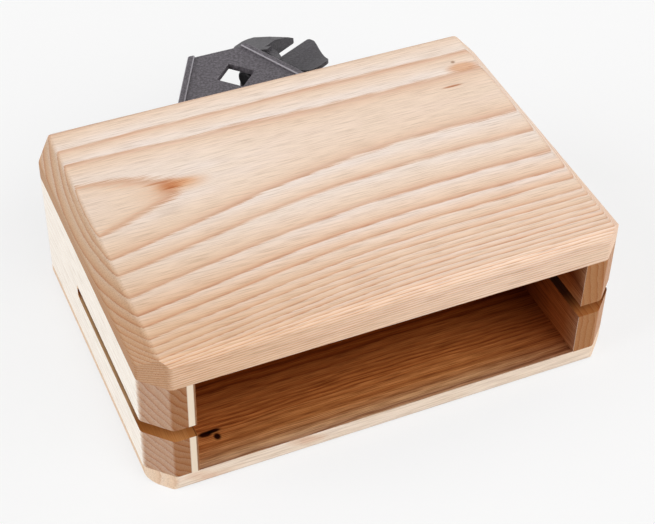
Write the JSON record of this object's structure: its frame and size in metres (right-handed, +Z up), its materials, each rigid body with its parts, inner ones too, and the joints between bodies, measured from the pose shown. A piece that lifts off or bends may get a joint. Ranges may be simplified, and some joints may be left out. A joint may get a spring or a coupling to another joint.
{
  "type": "woodblock",
  "caption": "Hollow ash woodblock, open at the front and slotted through both cheeks, with a rod bracket and a wing screw clamp on its back.",
  "frame": {"origin": "middle of the underside of the wooden box", "axes": "+X along the width, +Y from the open front to the clamp at the back, +Z up"},
  "size_m": [0.2, 0.2157, 0.07],
  "materials": {
    "ash_top": "thin matt lacquer, grain along the width",
    "ash_bottom": "thin matt lacquer, grain along the width",
    "ash_cheek": "thin matt lacquer, end grain at the front",
    "ash_back": "thin matt lacquer, grain along the width",
    "bracket_nylon": "finely textured dark grey moulding",
    "knob_nylon": "finely textured dark grey moulding",
    "pad_nylon": "smooth black",
    "zinc_steel": "bright zinc plated"
  },
  "bodies": {
    "block": {"top_plate": "ash_top", "bottom_plate": "ash_bottom", "left_cheek": "ash_cheek", "right_cheek": "ash_cheek", "back_block": "ash_back", "rod_bracket": "bracket_nylon", "bracket_screws": "zinc_steel", "clamp_nut": "zinc_steel"},
    "pad": {"clamp_pad": "pad_nylon"},
    "wing_screw": {"clamp_bolt": "zinc_steel", "wing_knob": "knob_nylon"}
  },
  "joints": [
    {"name": "pad_advance", "type": "slide", "parent": "block", "child": "pad", "axis": [-0.8897, -0.4565, 0], "range_m": [0, 0.00432]},
    {"name": "screw_turn", "type": "hinge", "parent": "pad", "child": "wing_screw", "pos_m": [0.00017, 0.1044, 0.0426], "axis": [-0.8897, -0.4565, 0], "range_deg": [0, 1238.4]}
  ],
  "couplings": [
    {"joint": "pad_advance", "follows": "screw_turn", "m_per_rad": 0.00019894}
  ]
}
